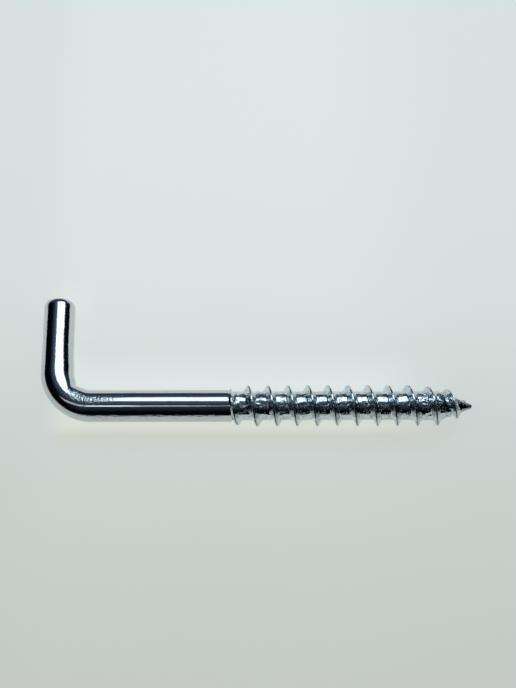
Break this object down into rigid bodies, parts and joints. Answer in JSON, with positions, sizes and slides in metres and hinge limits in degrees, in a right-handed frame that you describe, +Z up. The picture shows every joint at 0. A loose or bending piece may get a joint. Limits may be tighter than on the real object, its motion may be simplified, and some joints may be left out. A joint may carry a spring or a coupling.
{
  "type": "screw hook",
  "caption": "Square-bend screw hook of round plated steel wire: a coarse wood thread with a sharp point at one end, and a short arm at right angles at the other.",
  "frame": {"origin": "middle of the ground that the hook covers as it lies, at ground level", "axes": "+X along the shank, out of the point; +Y the side that the arm points to; +Z up from the ground"},
  "size_m": [0.079, 0.0242, 0.0074],
  "materials": {
    "zinc_plate": "bright zinc plate on steel wire, slightly blue, with fine pits and rolling marks, darker at the tip"
  },
  "bodies": {
    "root": {"screw_hook": "zinc_plate"}
  },
  "joints": []
}
